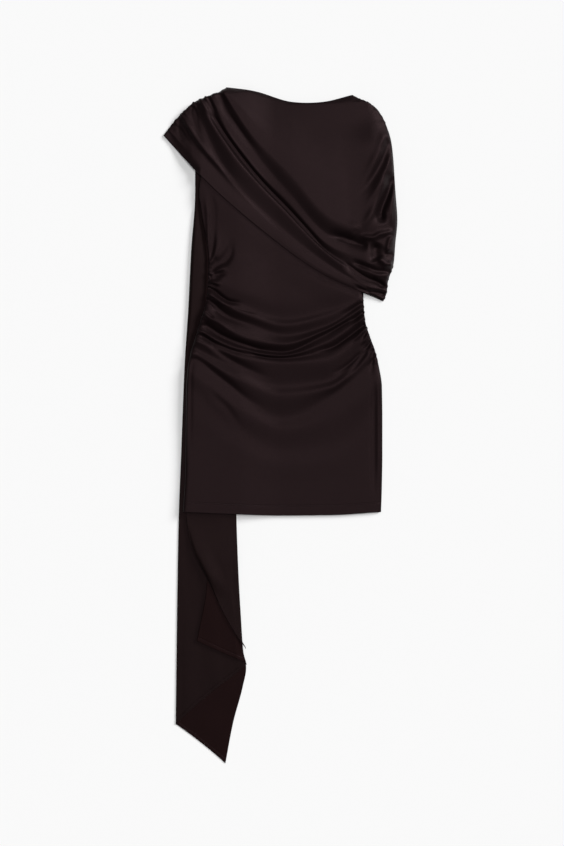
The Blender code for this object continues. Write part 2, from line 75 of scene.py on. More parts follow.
def through(places, values, at, level=True):
    """Cubic through table values: a slope is the harmonic mean of its neighbours, or their mean."""
    places = np.asarray(places, float)
    values = np.asarray(values, float).reshape(len(places), -1)
    width = np.diff(places)[:, None]
    rise = np.diff(values, axis=0) / width
    slope = np.vstack([rise[:1], (rise[1:] + rise[:-1]) / 2, rise[-1:]])
    if level:
        same_way = rise[1:] * rise[:-1] > 0
        total = np.where(same_way, rise[1:] + rise[:-1], 1.0)
        slope[1:-1] = np.where(same_way, 2 * rise[1:] * rise[:-1] / total, 0.0)
    at = np.clip(np.asarray(at, float), places[0], places[-1])
    k = np.clip(np.searchsorted(places, at, side="right") - 1, 0, len(places) - 2)
    t = ((at - places[k]) / width[k, 0])[:, None]
    return (
        values[k] * (1 + 2 * t) * (1 - t) ** 2
        + slope[k] * width[k] * t * (1 - t) ** 2
        + values[k + 1] * t**2 * (3 - 2 * t)
        + slope[k + 1] * width[k] * t**2 * (t - 1)
    )


def side_x(outline, y):
    """X of a side outline, a table of (y, x), at any array of y."""
    rows = np.array(sorted(outline), float)
    y = np.asarray(y, float)
    return through(rows[:, 0], rows[:, 1], y.ravel())[:, 0].reshape(y.shape)


def soft_step(value):
    """3t^2 - 2t^3: a smooth rise from 0 to 1."""
    t = np.clip(value, 0.0, 1.0)
    return t * t * (3 - 2 * t)


def rounded(value):
    """The square root of 1 - (1 - t)^2: a quarter circle from a folded edge inwards."""
    t = np.clip(value, 0.0, 1.0)
    return np.sqrt(1 - (1 - t) ** 2)


# %% [markdown]
# A fold is a path on the cloth with a width and a height. Across the path it is a bell, along it
# the fold fades at both ends. The two sides of the bell may differ, because a real crease is
# steep on one side and lies down slowly on the other.

# %% Folds along paths


def nearest_on_path(path, x, y):
    """Signed distance to a smooth path and the share of its length, for arrays of points."""
    knots = np.arange(len(path))
    points = through(knots, path, np.linspace(0, knots[-1], 6 * len(path) + 7))
    a = points[:-1]
    along = points[1:] - a
    offset = np.stack([np.ravel(x), np.ravel(y)], axis=1)[:, None, :] - a
    t = np.clip((offset * along).sum(2) / (along**2).sum(1), 0, 1)
    away = offset - t[..., None] * along
    gap = np.hypot(away[..., 0], away[..., 1])
    nearest = gap.argmin(axis=1)
    rows = np.arange(len(gap))
    turn = along[nearest, 0] * away[rows, nearest, 1] - along[nearest, 1] * away[rows, nearest, 0]
    share = (nearest + t[rows, nearest]) / len(a)
    distance = np.where(turn >= 0, 1, -1) * gap[rows, nearest]
    return distance.reshape(np.shape(x)), share.reshape(np.shape(x))


def fold(path, left_width, right_width, height, start_fade, end_fade, x, y):
    """height * exp(-(d / w)^2) * fades: w depends on the side of the path, fades on the length."""
    distance, share = nearest_on_path(path, x, y)
    width = np.where(distance >= 0, left_width, right_width)
    fades = soft_step(share / start_fade) * soft_step((1 - share) / end_fade)
    return height * np.exp(-((distance / width) ** 2)) * fades


def all_folds(table, x, y):
    """The sum of a table of folds. Points beyond three widths of a fold are skipped."""
    total = np.zeros(np.shape(x))
    for path, left_width, right_width, height, start_fade, end_fade in table.values():
        corner = np.array(path, float)
        reach = 3 * max(left_width, right_width)
        near = (x > corner[:, 0].min() - reach) & (x < corner[:, 0].max() + reach)
        near &= (y > corner[:, 1].min() - reach) & (y < corner[:, 1].max() + reach)
        shape = path, left_width, right_width, height, start_fade, end_fade
        total[near] += fold(*shape, x[near], y[near])
    return total


def distance_inside(outline, x, y):
    """Distance to a closed outline, positive inside it."""
    a = np.array(outline, float)
    b = np.roll(a, -1, axis=0)
    point = np.stack([np.ravel(x), np.ravel(y)], axis=1)
    along = b - a
    offset = point[:, None, :] - a[None, :, :]
    t = np.clip((offset * along).sum(2) / (along**2).sum(1), 0, 1)
    gap = np.linalg.norm(offset - t[..., None] * along, axis=2).min(axis=1)
    above = (a[:, 1] > point[:, 1:2]) != (b[:, 1] > point[:, 1:2])
    rise = np.where(along[:, 1] == 0, 1, along[:, 1])
    crossing = point[:, :1] < a[:, 0] + along[:, 0] * offset[:, :, 1] / rise
    inside = (above & crossing).sum(axis=1) % 2 == 1
    return np.where(inside, gap, -gap).reshape(np.shape(x))


middle = fold([(0, 0), (9, 0)], 3, 3, 2, 0.3, 0.3, np.array([4.5]), np.array([0.0]))
print("a fold of height 2, measured on its own path:", middle.round(2))

# %% [markdown]
# The layers of the garment lie in this order, from the floor up: sash, back of the overlay, back
# of the sheath, front of the sheath, front of the overlay. The sash lifts what lies on it, and
# each layer adds its own thickness. The sizes are those of the solids, in millimetres.

# %% Layer sizes and outlines
WALL = 1.4
CLOTH = 1.0
SEAM_GAP = 0.4
LAYER_GAP = 1.1
DRAPE_GAP = 1.4
SASH_LIFT = 9.0
SASH_RAMP_RIGHT = 90.0
SASH_RAMP_LEFT = 50.0
DRAPE_RAMP = 60.0
OVERLAY_RAMP = 42.0
LEVEL_MARGIN = 4.0
SHEATH_LOFT = 3.6
HIDDEN_LOFT = 1.2
HIDDEN_FROM_Y = 300.0
HIDDEN_FADE = 120.0
VISIBLE_ROUNDING = 9.0
HIDDEN_ROUNDING = 49.0
RIGHT_ROUNDING_MORE = 3.0
SEAM_ROUNDING = 16.0

SHEATH_LEFT = [
    (660, -143), (552, -147), (466, -162), (429, -157), (379, -149), (339, -143),
    (275, -145), (236, -151), (212, -159), (173, -171), (152, -178), (108, -186),
    (74, -188), (-92, -190), (-180, -195),
]
SHEATH_RIGHT = [
    (660, 171), (552, 175), (466, 187), (372, 181), (292, 167), (259, 166),
    (215, 169), (179, 179), (152, 189), (119, 197), (79, 203), (12, 204),
    (-55, 204), (-121, 203), (-180, 201),
]
SASH_LEFT = [
    (660, -167), (512, -171), (469, -171), (352, -179), (232, -185), (126, -192),
    (29, -196), (-54, -199), (-188, -204), (-362, -207), (-600, -210),
]
SASH_RIGHT = [
    (660, -105), (352, -97), (52, -93), (-178, -88), (-290, -84), (-380, -79),
    (-452, -74), (-484, -67), (-523, -74), (-594, -93), (-678, -109),
]
SASH_SELVAGE = [(660, -147), (252, -151), (-178, -143), (-316, -147), (-430, -167)]
ROLLED_FOLD = [
    (660, -141), (300, -137), (52, -172), (-68, -180), (-180, -189), (-216, -184),
    (-252, -174), (-305, -147), (-376, -113), (-444, -74),
]

# %% [markdown]
# The overlay is a loft: each row of the table is one fold line from the left shoulder seam to the
# right side, at five stations, with the fold's height over what it lies on. A surface through all
# rows bends along the folds, which is how a gathered panel really hangs. The sheath's front is
# made the same way from its smile-shaped ruching, with only the Y of each line in the table.

# %% Tables of the overlay's lines
STATIONS = (0.0, 0.25, 0.5, 0.75, 1.0)
DRAPE_LINES = {
    "neckline": [(-107, 677), (-45, 668), (19, 649), (83, 648), (144, 663)],
    "shoulder": [(-109, 676), (-47, 650), (19, 618), (89, 602), (194, 634)],
    "upper chest": [(-112, 674), (-49, 626), (19, 580), (97, 548), (223, 562)],
    "chest": [(-114, 672), (-53, 602), (19, 542), (103, 492), (230, 472)],
    "above hollow": [(-117, 670), (-55, 580), (20, 504), (112, 412), (234, 412)],
    "soft hollow": [(-126, 666), (-62, 559), (17, 466), (104, 376), (230, 366)],
    "lit ridge": [(-139, 661), (-79, 550), (9, 454), (102, 360), (227, 328)],
    "deep trough": [(-149, 657), (-89, 546), (5, 444), (99, 346), (215, 288)],
    "narrow ridge": [(-161, 653), (-93, 537), (1, 438), (97, 341), (213, 268)],
    "dark band": [(-176, 645), (-113, 517), (-19, 415), (89, 327), (209, 257)],
    "cap ridge": [(-193, 630), (-119, 510), (-26, 408), (85, 322), (208, 254)],
    "edge band": [(-215, 607), (-129, 494), (-30, 398), (82, 314), (207, 252)],
    "free edge": [(-234, 582), (-139, 480), (-33, 389), (79, 308), (206, 250)],
}
DRAPE_HEIGHTS = {
    "neckline": (0.6, 0.8, 0.8, 0.8, 0.6),
    "shoulder": (3.0, 5.0, 6.0, 5.0, 1.5),
    "upper chest": (4.5, 10.0, 12.0, 10.0, 1.8),
    "chest": (5.5, 14.0, 16.0, 13.0, 2.0),
    "above hollow": (6.0, 13.5, 15.5, 14.0, 2.2),
    "soft hollow": (3.0, 7.5, 8.5, 5.0, 1.8),
    "lit ridge": (5.5, 7.0, 7.0, 5.2, 2.6),
    "deep trough": (0.5, 1.5, 2.0, 0.5, 0.6),
    "narrow ridge": (6.0, 8.6, 7.2, 5.2, 3.4),
    "dark band": (0.8, 0.5, 0.9, 1.0, 1.6),
    "cap ridge": (3.0, 2.6, 2.2, 1.8, 2.4),
    "edge band": (1.6, 1.4, 1.6, 1.6, 1.6),
    "free edge": (0.8, 0.8, 0.6, 0.6, 0.6),
}

# %% [markdown]
# The sheath is ruched between its side seams, so its lines hang like smiles. Each row gives the
# line's Y at the five stations, and the second table how far that line stands up or sinks. Lines
# that are not in the second table lie smooth.

# %% Tables of the sheath's lines
SHEATH_LINES = {
    "top": (655, 662, 638, 640, 643),
    "upper chest": (562, 562, 556, 556, 562),
    "armpit": (466, 466, 462, 462, 472),
    "bust": (402, 402, 388, 388, 402),
    "upper gathers": (342, 328, 316, 328, 342),
    "ruche top": (296, 272, 254, 264, 290),
    "first crease": (274, 239, 217, 232, 262),
    "first ridge": (260, 224, 202, 218, 254),
    "broad trough": (248, 207, 182, 200, 246),
    "second ridge": (226, 178, 164, 190, 237),
    "deepest trough": (202, 162, 148, 180, 228),
    "thin ridge": (191, 155, 141, 164, 218),
    "thin crease": (183, 148, 135, 150, 204),
    "third ridge": (172, 138, 125, 131, 190),
    "long trough": (158, 115, 82, 92, 170),
    "fourth ridge": (147, 96, 60, 76, 152),
    "low trough": (136, 65, 18, 58, 132),
    "fifth ridge": (112, 36, -8, 16, 92),
    "faint trough": (82, -4, -48, -36, 48),
    "upper skirt": (22, -44, -80, -72, -8),
    "middle skirt": (-58, -96, -116, -112, -72),
    "lower skirt": (-128, -136, -140, -140, -128),
    "hem": (-172, -176, -179, -178, -172),
}
SHEATH_HEIGHTS = {
    "ruche top": (0.6, 0.9, 1.2, 0.9, 0.0),
    "first crease": (-1.6, -1.8, -0.8, -0.4, 0.0),
    "first ridge": (1.0, 1.8, 1.6, 1.2, 0.0),
    "broad trough": (-2.0, -2.8, -1.6, -1.2, -0.4),
    "second ridge": (2.4, 3.4, 3.2, 2.4, 0.6),
    "deepest trough": (-2.4, -3.2, -3.2, -2.8, -1.0),
    "thin ridge": (1.4, 2.2, 2.0, 1.6, 0.8),
    "thin crease": (-1.2, -1.0, -1.0, -1.2, -0.8),
    "third ridge": (1.6, 2.4, 2.4, 2.4, 1.2),
    "long trough": (-1.4, -2.4, -1.8, -1.8, -1.2),
    "fourth ridge": (1.2, 1.8, 1.4, 1.6, 1.4),
    "low trough": (-1.6, -2.0, -1.6, -1.6, -1.2),
    "fifth ridge": (0.6, 1.0, 0.8, 0.8, 0.6),
    "faint trough": (-0.4, -0.9, -0.9, -0.7, -0.2),
    "upper skirt": (0.2, 0.4, 0.4, 0.4, 0.2),
}


def drape_grid(u, v):
    """Plan X, Y and fold height of the overlay: a curve across each row, then a curve down."""
    plan = np.array([DRAPE_LINES[name] for name in DRAPE_LINES], float)
    heights = np.array([DRAPE_HEIGHTS[name] for name in DRAPE_LINES], float)[:, :, None]
    plan, heights = [part.transpose(1, 0, 2).reshape(len(STATIONS), -1) for part in (plan, heights)]
    across = through(STATIONS, plan, u, level=False).reshape(len(u), len(DRAPE_LINES), 2)
    raised = through(STATIONS, heights, u).reshape(len(u), len(DRAPE_LINES), 1)
    rows = np.dstack([across, raised]).transpose(1, 0, 2).reshape(len(DRAPE_LINES), -1)
    grid = through(range(len(DRAPE_LINES)), rows, v)
    return np.moveaxis(grid.reshape(len(v), len(u), 3), 2, 0)


def sheath_grid(u, v):
    """Plan X, Y and fold height of the sheath: Y from the rows, X shared between the sides."""
    lines = np.array([SHEATH_LINES[name] for name in SHEATH_LINES], float)
    flat = (0.0,) * len(STATIONS)
    heights = np.array([SHEATH_HEIGHTS.get(name, flat) for name in SHEATH_LINES])
    columns = np.dstack([lines, heights]).transpose(1, 0, 2)
    across = through(STATIONS, columns.reshape(len(STATIONS), -1), u)
    across = across.reshape(len(u), len(lines), 2).transpose(1, 0, 2)
    grid = through(range(len(lines)), across.reshape(len(lines), -1), v)
    y, height = np.moveaxis(grid.reshape(len(v), len(u), 2), 2, 0)
    left = side_x(SHEATH_LEFT, y[:, :1])
    right = side_x(SHEATH_RIGHT, y[:, -1:])
    return left + (right - left) * u, y, height


# %% [markdown]
# Heights of the layers as functions of the plan. They are the formulas of the solids, so the
# finer cloth lies where the solids lie and never passes through its neighbour.

# %% Layer heights


def drape_outline():
    """The overlay's outline, from its table of lines."""
    lines = list(DRAPE_LINES.values())
    left = [line[0] for line in lines]
    right = [line[-1] for line in lines]
    return lines[0][:-1] + right + lines[-1][-2:0:-1] + left[:0:-1]


def sheath_outline():
    """The sheath's outline, both sides and the two ends."""
    top = SHEATH_LINES["top"]
    bottom = SHEATH_LINES["hem"]
    left = [(x, y) for y, x in SHEATH_LEFT if bottom[0] < y < top[0]]
    right = [(x, y) for y, x in SHEATH_RIGHT if bottom[-1] < y < top[-1]]
    share = np.array(STATIONS)
    top_x = SHEATH_LEFT[0][1] + (SHEATH_RIGHT[0][1] - SHEATH_LEFT[0][1]) * share
    low_x = SHEATH_LEFT[-1][1] + (SHEATH_RIGHT[-1][1] - SHEATH_LEFT[-1][1]) * share
    ends = list(zip(top_x, top)), list(zip(low_x, bottom))
    return ends[0] + right + ends[1][::-1] + left[::-1]


def sash_lift(x, y):
    """Height of the layers over the sash: full on it, a soft step down on both sides."""
    past_right = side_x(SASH_RIGHT, y) + LEVEL_MARGIN - x
    past_left = x - side_x(SASH_LEFT, y) + LEVEL_MARGIN
    right = soft_step((past_right + SASH_RAMP_RIGHT) / SASH_RAMP_RIGHT)
    left = soft_step((past_left + SASH_RAMP_LEFT) / SASH_RAMP_LEFT)
    return SASH_LIFT * right * left


def under_back_body(x, y):
    """Sash lift plus the thickness of the overlay's back inside its outline."""
    inside = distance_inside(drape_outline(), x, y)
    over_drape = soft_step((inside + LEVEL_MARGIN + DRAPE_RAMP) / DRAPE_RAMP)
    return sash_lift(x, y) + (WALL + LAYER_GAP) * over_drape


def hidden_share(y):
    """0 where the sheath shows, 1 where the overlay covers all of it."""
    return soft_step((y - HIDDEN_FROM_Y) / HIDDEN_FADE)


def full_loft(y):
    """Fullness of the sheath's front away from its sides, thin where it is hidden."""
    return SHEATH_LOFT + (HIDDEN_LOFT - SHEATH_LOFT) * hidden_share(y)


def sheath_loft(x, y):
    """Fullness of the sheath's front, a quarter round at both sides."""
    from_left = x - side_x(SHEATH_LEFT, y)
    from_right = side_x(SHEATH_RIGHT, y) - x
    rounding = VISIBLE_ROUNDING + (HIDDEN_ROUNDING - VISIBLE_ROUNDING) * hidden_share(y)
    right_rounding = rounding + RIGHT_ROUNDING_MORE
    return full_loft(y) * rounded(from_left / rounding) * rounded(from_right / right_rounding)


def under_front_body(x, y):
    """Underside of the sheath's front before its folds."""
    return under_back_body(x, y) + WALL + SEAM_GAP + sheath_loft(x, y)


def under_front_drape(x, y):
    """What the overlay's front lies on: its own back, or the sheath, with a soft slope between."""
    past_sheath = distance_inside(sheath_outline(), x, y) + LEVEL_MARGIN
    inside = distance_inside(drape_outline(), x, y)
    sheath_roof = under_back_body(x, y) + 2 * WALL + SEAM_GAP + full_loft(y) + DRAPE_GAP
    own_gap = SEAM_GAP + (DRAPE_GAP - SEAM_GAP) * soft_step(inside / SEAM_ROUNDING)
    own_back = sash_lift(x, y) + WALL + own_gap
    over_sheath = soft_step((past_sheath + SEAM_ROUNDING) / SEAM_ROUNDING)
    closed = np.maximum(rounded(inside / SEAM_ROUNDING), over_sheath)
    carried = soft_step((past_sheath + OVERLAY_RAMP) / OVERLAY_RAMP) * closed
    return own_back + (sheath_roof - own_back) * carried


# %% [markdown]
# A panel becomes a closed shell: a top grid, a bottom grid one cloth thickness lower, and a rim
# between them whose middle ring stands a little proud, so that a cut edge catches the light as a
# soft turned edge. Two materials may be given, for a cloth whose wrong side shows.

# %% Shell maker


RIM_PROUD = 0.3


def cloth_shell(name, side_a, side_b, materials, wrong_side=False):
    """Closed mesh of two (x, y, z) grids in millimetres, joined round their border by a rim."""
    a = np.stack(side_a, axis=-1)
    b = np.stack(side_b, axis=-1)
    rows, columns = a.shape[:2]
    index = np.arange(rows * columns).reshape(rows, columns)
    rim = np.concatenate([index[:-1, 0], index[-1, :-1], index[:0:-1, -1], index[0, :0:-1]])
    flat_a, flat_b = a.reshape(-1, 3), b.reshape(-1, 3)
    before, after = flat_a[np.roll(rim, 2)], flat_a[np.roll(rim, -2)]
    travel = after - before
    outward = np.stack([travel[:, 1], -travel[:, 0], np.zeros(len(rim))], axis=1)
    outward /= np.maximum(np.linalg.norm(outward, axis=1, keepdims=True), 1e-9)
    middle = (flat_a[rim] + flat_b[rim]) / 2 + outward * CLOTH * RIM_PROUD
    points = np.concatenate([flat_a, flat_b, middle]) * MM
    quads = np.stack([index[:-1, :-1], index[1:, :-1], index[1:, 1:], index[:-1, 1:]], axis=-1)
    quads = quads.reshape(-1, 4)
    count = rows * columns
    ring = 2 * count + np.arange(len(rim))
    following, next_ring = np.roll(rim, -1), np.roll(ring, -1)
    upper = np.stack([rim, ring, next_ring, following], axis=-1)
    lower = np.stack([ring, rim + count, following + count, next_ring], axis=-1)
    faces = np.concatenate([quads, quads[:, ::-1] + count, upper, lower])
    mesh = bpy.data.meshes.new(name)
    mesh.vertices.add(len(points))
    mesh.vertices.foreach_set("co", points.astype(np.float32).ravel())
    mesh.loops.add(faces.size)
    mesh.loops.foreach_set("vertex_index", faces.astype(np.int32).ravel())
    mesh.polygons.add(len(faces))
    mesh.polygons.foreach_set("loop_start", np.arange(0, faces.size, 4, dtype=np.int32))
    for material in materials:
        mesh.materials.append(material)
    if wrong_side:
        slots = np.zeros(len(faces), np.int32)
        slots[len(quads):2 * len(quads)] = 1
        mesh.polygons.foreach_set("material_index", slots)
    mesh.update()
    mesh.validate()
    mesh.shade_smooth()
    piece = bpy.data.objects.new(name, mesh)
    bpy.context.scene.collection.objects.link(piece)
    print(name, "triangles", 2 * len(faces))
    return piece


def panel(name, x, y, top, materials):
    """A panel that lies flat: its underside is one cloth thickness straight below its top."""
    return cloth_shell(name, (x, y, top), (x, y, top - CLOTH), materials)


# %% [markdown]
# The cloth is a dense jersey with a smooth face, dyed a very dark brown. So little light comes
# back from the dye that the folds are read from the soft, tinted gloss of the face: flats mirror
# the lamp overhead and both flanks of a fold fall dark. The dye is a little uneven, and fine rows
# of loops, a wave texture used as bump, run along the garment.

# %% Jersey material


def jersey(name, colour, mottle, sheen, gloss):
    """Principled cloth: noise varies the colour and roughness, waves and noise make the bump."""
    material = bpy.data.materials.new(name)
    material.use_nodes = True
    tree = material.node_tree
    nodes, links = tree.nodes, tree.links
    shader = nodes["Principled BSDF"]
    place = nodes.new("ShaderNodeTexCoord")

    dye = nodes.new("ShaderNodeTexNoise")
    dye.inputs["Scale"].default_value = 14.0
    dye.inputs["Detail"].default_value = 5.0
    links.new(place.outputs["Object"], dye.inputs["Vector"])
    tint = nodes.new("ShaderNodeValToRGB")
    tint.color_ramp.elements[0].position = 0.32
    tint.color_ramp.elements[1].position = 0.7
    tint.color_ramp.elements[0].color = (*[c * (1 - mottle) for c in colour], 1)
    tint.color_ramp.elements[1].color = (*[c * (1 + mottle) for c in colour], 1)
    links.new(dye.outputs["Fac"], tint.inputs["Fac"])
    links.new(tint.outputs["Color"], shader.inputs["Base Color"])

    rough = nodes.new("ShaderNodeMapRange")
    rough.inputs["To Min"].default_value = 0.41
    rough.inputs["To Max"].default_value = 0.49
    links.new(dye.outputs["Fac"], rough.inputs["Value"])
    links.new(rough.outputs["Result"], shader.inputs["Roughness"])

    loops = nodes.new("ShaderNodeTexWave")
    loops.bands_direction = "X"
    loops.inputs["Scale"].default_value = 330.0
    loops.inputs["Distortion"].default_value = 1.5
    loops.inputs["Detail"].default_value = 2.0
    links.new(place.outputs["Object"], loops.inputs["Vector"])
    fuzz = nodes.new("ShaderNodeTexNoise")
    fuzz.inputs["Scale"].default_value = 420.0
    fuzz.inputs["Detail"].default_value = 3.0
    links.new(place.outputs["Object"], fuzz.inputs["Vector"])
    mixed = nodes.new("ShaderNodeMath")
    mixed.operation = "ADD"
    links.new(loops.outputs["Fac"], mixed.inputs[0])
    links.new(fuzz.outputs["Fac"], mixed.inputs[1])
    bump = nodes.new("ShaderNodeBump")
    bump.inputs["Strength"].default_value = 0.35
    bump.inputs["Distance"].default_value = 0.0002
    links.new(mixed.outputs["Value"], bump.inputs["Height"])
    links.new(bump.outputs["Normal"], shader.inputs["Normal"])

    shader.inputs["Specular IOR Level"].default_value = gloss
    shader.inputs["Specular Tint"].default_value = (1.0, 0.62, 0.66, 1.0)
    shader.inputs["Sheen Weight"].default_value = sheen
    shader.inputs["Sheen Roughness"].default_value = 0.3
    shader.inputs["Sheen Tint"].default_value = (1.0, 0.86, 0.88, 1.0)
    return material


drape_jersey = jersey("overlay_jersey", (0.0062, 0.0036, 0.0039), 0.10, 0.03, 0.104)
body_jersey = jersey("sheath_jersey", (0.0060, 0.0034, 0.0037), 0.10, 0.03, 0.087)
sash_jersey = jersey("sash_jersey", (0.0056, 0.0031, 0.0030), 0.10, 0.03, 0.060)
wrong_jersey = jersey("sash_wrong_side", (0.0066, 0.0026, 0.0025), 0.12, 0.02, 0.045)
thread = jersey("sewing_thread", (0.0085, 0.0050, 0.0052), 0.05, 0.10, 0.20)
print("materials:", len(bpy.data.materials))

# %% [markdown]
# Folds that cross the overlay's loft at its right side, where the cloth turns round the arm and
# bags out over the side seam, and the small pleats that start in the left shoulder seam.
# Each row: path in millimetres, width on its left and right, height, and the share of the path
# over which the fold rises at its start and dies at its end.

# %% Overlay folds
DRAPE_FOLDS = {
    "shoulder ridge": ([(213, 592), (200, 556), (184, 522), (160, 484)], 9, 8, 2.6, 0.15, 0.5),
    "fine shoulder crease": ([(214, 580), (206, 562), (198, 546)], 2.6, 2.6, -2.0, 0.1, 0.4),
    "shoulder trough": (
        [(218, 578), (208, 542), (194, 512), (175, 481), (146, 450)], 8, 6, -6.0, 0.1, 0.5),
    "arm ridge": ([(224, 545), (213, 515), (199, 485), (182, 456), (158, 422)], 7, 6, 4.0, 0.1, 0.5),
    "fine arm crease": ([(222, 532), (216, 511), (206, 492)], 2.4, 2.4, -2.4, 0.1, 0.4),
    "rim of the deep fold": (
        [(214, 496), (204, 468), (191, 440), (176, 414), (160, 392)], 7, 8, 3.4, 0.15, 0.35),
    "deep fold": (
        [(225, 506), (220, 480), (213, 460), (205, 440), (201, 424), (205, 402)], 7, 10, -13.0, 0.12, 0.15),
    "side ridge": ([(229, 492), (225, 458), (222, 428), (220, 398)], 4, 6, 3.2, 0.2, 0.3),
    "chest end": ([(156, 408), (143, 388), (150, 374)], 11, 11, 2.4, 0.3, 0.3),
    "hollow end": ([(92, 386), (122, 377), (142, 369), (160, 362), (178, 357)], 8, 7, -6.5, 0.25, 0.2),
    "pouch ridge": ([(154, 382), (170, 377), (184, 376), (200, 383), (229, 389)], 5, 5, 4.2, 0.3, 0.1),
    "pouch hollow": ([(194, 368), (189, 352), (189, 340), (193, 328)], 12, 9, -9.5, 0.25, 0.25),
    "pouch bump": ([(223, 382), (219, 368), (216, 356), (219, 346)], 7, 7, 6.0, 0.2, 0.2),
    "notch": ([(207, 342), (227, 343)], 3, 3, -2.4, 0.3, 0.2),
    "lower bump": ([(195, 337), (204, 329), (214, 323), (227, 323)], 7, 6, 6.4, 0.2, 0.2),
    "first low trough": (
        [(140, 331), (158, 323), (176, 316), (199, 309), (221, 309)], 5, 5, -5.0, 0.3, 0.05),
    "first low ridge": ([(176, 304), (203, 302), (224, 304)], 6, 6, 2.6, 0.4, 0.05),
    "second low trough": (
        [(124, 326), (140, 314), (156, 304), (175, 294), (195, 288), (211, 275)], 5, 6, -5.4, 0.25, 0.1),
    "second low ridge": ([(184, 300), (204, 292), (217, 286)], 5, 5, 2.2, 0.3, 0.05),
    "third low ridge": ([(140, 298), (160, 285), (181, 276), (208, 273)], 6, 5, 2.8, 0.4, 0.05),
    "third low trough": ([(146, 281), (170, 270), (190, 268), (209, 263)], 3, 3, -2.6, 0.3, 0.05),
    "crisp trough": (
        [(-146, 632), (-122, 592), (-80, 540), (-38, 486), (22, 424), (94, 348)], 5, 4, -5.2, 0.1, 0.15),
    "crest beside it": (
        [(-138, 642), (-115, 600), (-70, 537), (-30, 489), (30, 428)], 3.4, 4, 1.2, 0.2, 0.4),
    "cap ridge crest": (
        [(-196, 617), (-180, 592), (-150, 550), (-112, 508), (-55, 450)], 4, 5, 2.2, 0.15, 0.5),
    "cap pleat": ([(-205, 613), (-200, 590), (-194, 562)], 6, 5, -2.4, 0.1, 0.5),
    "cap hollow": ([(-176, 640), (-172, 610), (-160, 580), (-140, 556)], 7, 7, -2.6, 0.1, 0.5),
    "cap band hollow": (
        [(-206, 606), (-176, 566), (-130, 512), (-84, 462), (-30, 412)], 9, 9, -1.8, 0.2, 0.4),
    "neck pleat": ([(-122, 662), (-112, 632), (-90, 602), (-62, 566), (-30, 530)], 6, 8, -2.4, 0.2, 0.5),
}


def run_along(x, y):
    """Length along a line of points from its first point, as a column."""
    steps = np.hypot(np.diff(x), np.diff(y))
    return np.concatenate([[0.0], np.cumsum(steps)])[:, None]


def gathers(run, distance, first, last, count, length, height, half_width, seed):
    """Bells side by side along a seam; each has its own place, width and height and fades inwards."""
    rng = np.random.default_rng(seed)
    step = (last - first) / count
    places = first + step * (np.arange(count) + 0.5 + rng.uniform(-0.28, 0.28, count))
    lengths = length * rng.uniform(0.45, 1.7, count)
    heights = height * rng.uniform(0.55, 1.3, count)
    widths = half_width * rng.uniform(0.75, 1.25, count)
    across = np.exp(-(((run[..., None] - places) / widths) ** 2))
    fade = np.exp(-((distance[..., None] / lengths) ** 1.5))
    return (heights * across * fade).sum(axis=-1)


def swell_out(x, y, side, run, gather, amount):
    """Moves the border out where a gather stands: its height at the seam, less its mean, times amount."""
    edge_x, edge_y = x[:, side][:, None], y[:, side][:, None]
    distance = np.hypot(x - edge_x, y - edge_y)
    peak = gather(run, np.zeros_like(run))
    live = peak > 0.05
    push = np.where(live, peak - peak[live].mean(), 0.0) * amount * np.exp(-distance / 7)
    travel = np.stack([np.gradient(edge_x[:, 0]), np.gradient(edge_y[:, 0])], axis=1)
    travel /= np.maximum(np.linalg.norm(travel, axis=1, keepdims=True), 1e-9)
    turn = 1.0 if side else -1.0
    return x - turn * travel[:, 1:] * push, y + turn * travel[:, :1] * push


def left_shoulder(run, distance):
    """The gathers of the left shoulder seam: long soft ones with short ones between."""
    long_ones = gathers(run, distance, 6, 150, 9, 24, 2.2, 3.8, 11)
    return long_ones + gathers(run, distance, 20, 130, 9, 9, 1.4, 2.2, 12)


def right_side(run, distance):
    """The gathers of the right side: fine on the shoulder, coarse at the low side seam."""
    shoulder = gathers(run, distance, 10, 100, 10, 8, 1.5, 2.6, 13)
    return shoulder + gathers(run, distance, 372, 452, 6, 9, 2.2, 3.6, 14)


def drape_relief(x, y):
    """Height of both gathered borders of the overlay."""
    from_left = np.hypot(x - x[:, :1], y - y[:, :1])
    from_right = np.hypot(x - x[:, -1:], y - y[:, -1:])
    left = left_shoulder(run_along(x[:, 0], y[:, 0]), from_left)
    return left + right_side(run_along(x[:, -1], y[:, -1]), from_right)


# %% [markdown]
# The front of the overlay. Stations crowd towards both ends, where the gathers are, and the
# relief sinks to the seam over the last few millimetres, as sewn cloth does.

# %% Front of the overlay


def crowded(count, power):
    """Stations from 0 to 1 that crowd towards both ends: a blend of even and cosine spacing."""
    even = np.linspace(0, 1, count)
    return (1 - power) * even + power * (1 - np.cos(np.pi * even)) / 2


ARM_LOFT = 10.0
ARM_SPAN = (262.0, 632.0)
ARM_LOW_FADE = 40.0
ARM_HIGH_FADE = 70.0
ARM_LEVEL = 22.0
ARM_FADE = 80.0


def arm_loft(x, y):
    """Fullness round the arm: a quarter round at the right side that dies away over the chest."""
    inwards = np.hypot(x - x[:, -1:], y - y[:, -1:])
    low, high = ARM_SPAN
    along = soft_step((y[:, -1:] - low) / ARM_LOW_FADE) * soft_step((high - y[:, -1:]) / ARM_HIGH_FADE)
    over_chest = 1 - soft_step((inwards - ARM_LEVEL) / ARM_FADE)
    return ARM_LOFT * rounded(inwards / SEAM_ROUNDING) * over_chest * along


SEAM_CLOSE = 6.0


def drape_top(x, y, folds):
    """Top of the overlay's front: its base, the cloth and its folds, a quarter round at each seam."""
    relief = folds + arm_loft(x, y) + all_folds(DRAPE_FOLDS, x, y) + drape_relief(x, y)
    from_left = np.hypot(x - x[:, :1], y - y[:, :1])
    from_right = np.hypot(x - x[:, -1:], y - y[:, -1:])
    closed = rounded((np.minimum(from_left, from_right) + 0.2) / SEAM_CLOSE)
    return under_front_drape(x, y) + np.maximum(relief * closed, 0.0) + WALL


